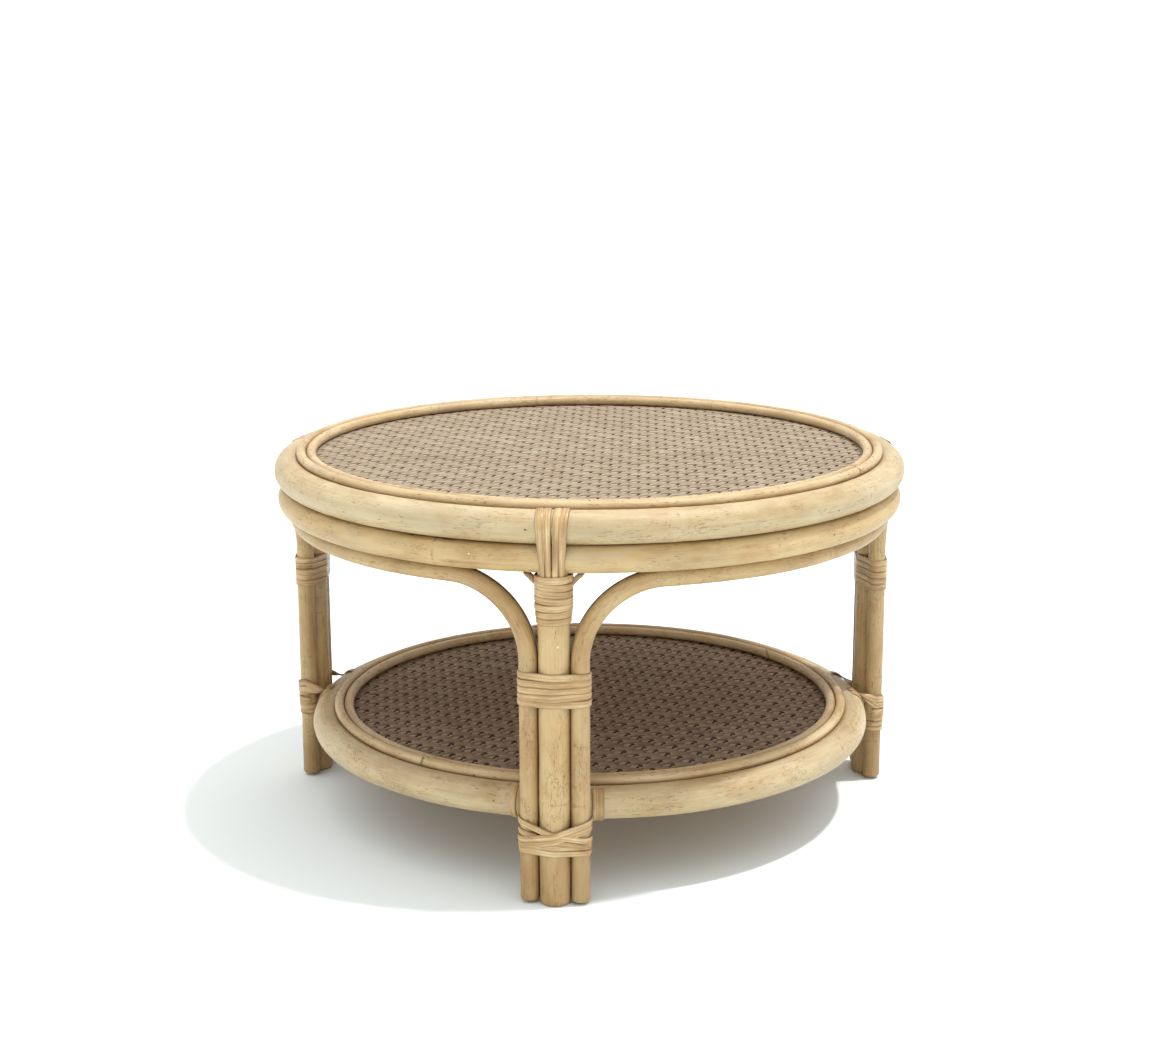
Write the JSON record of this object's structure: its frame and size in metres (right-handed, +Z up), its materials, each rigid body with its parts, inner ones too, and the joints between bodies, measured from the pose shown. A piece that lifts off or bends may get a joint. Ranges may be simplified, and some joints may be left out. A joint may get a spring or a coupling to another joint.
{
  "type": "coffee table",
  "caption": "Round two-tier rattan coffee table: woven top and shelf inside bent pole rims, arched cane braces and peel-bound cane legs.",
  "frame": {"origin": "on the floor, on the vertical axis of the round top", "axes": "+Z up; -Y towards the front leg side; +X to the right seen from the front"},
  "size_m": [0.75, 0.7522, 0.4402],
  "materials": {
    "pole_cane": "satin",
    "arch_cane": "satin",
    "trim_cane": "satin",
    "woven_core": "matte",
    "plywood": "matte",
    "peel": "satin",
    "steel": "satin"
  },
  "bodies": {
    "root": {"apron_nails": "steel", "apron_ring": "pole_cane", "arch_cane_back_left": "arch_cane", "arch_cane_back_right": "arch_cane", "arch_cane_front_left": "arch_cane", "arch_cane_front_right": "arch_cane", "back_leg_lower_wrap": "peel", "back_leg_pole": "pole_cane", "back_leg_rim_straps": "peel", "back_leg_shelf_tie_a": "peel", "back_leg_shelf_tie_b": "peel", "back_leg_upper_wrap": "peel", "front_leg_apron_ties": "peel", "front_leg_lower_wrap": "peel", "front_leg_middle_wrap": "peel", "front_leg_pole": "pole_cane", "front_leg_rim_straps": "peel", "front_leg_shelf_tie_a": "peel", "front_leg_shelf_tie_b": "peel", "front_leg_upper_wrap": "peel", "left_leg_apron_ties": "peel", "left_leg_lower_wrap": "peel", "left_leg_middle_wrap": "peel", "left_leg_pole": "pole_cane", "left_leg_rim_straps": "peel", "left_leg_shelf_tie_a": "peel", "left_leg_shelf_tie_b": "peel", "left_leg_upper_wrap": "peel", "right_leg_apron_ties": "peel", "right_leg_lower_wrap": "peel", "right_leg_middle_wrap": "peel", "right_leg_pole": "pole_cane", "right_leg_rim_straps": "peel", "right_leg_shelf_tie_a": "peel", "right_leg_shelf_tie_b": "peel", "right_leg_upper_wrap": "peel", "shelf_backing_board": "plywood", "shelf_nails": "steel", "shelf_rim": "pole_cane", "shelf_trim_brads": "steel", "shelf_trim_inner": "trim_cane", "shelf_trim_outer": "trim_cane", "shelf_woven_panel": "woven_core", "top_backing_board": "plywood", "top_rim": "pole_cane", "top_trim_brads": "steel", "top_trim_inner": "trim_cane", "top_trim_outer": "trim_cane", "top_woven_panel": "woven_core"}
  },
  "joints": []
}
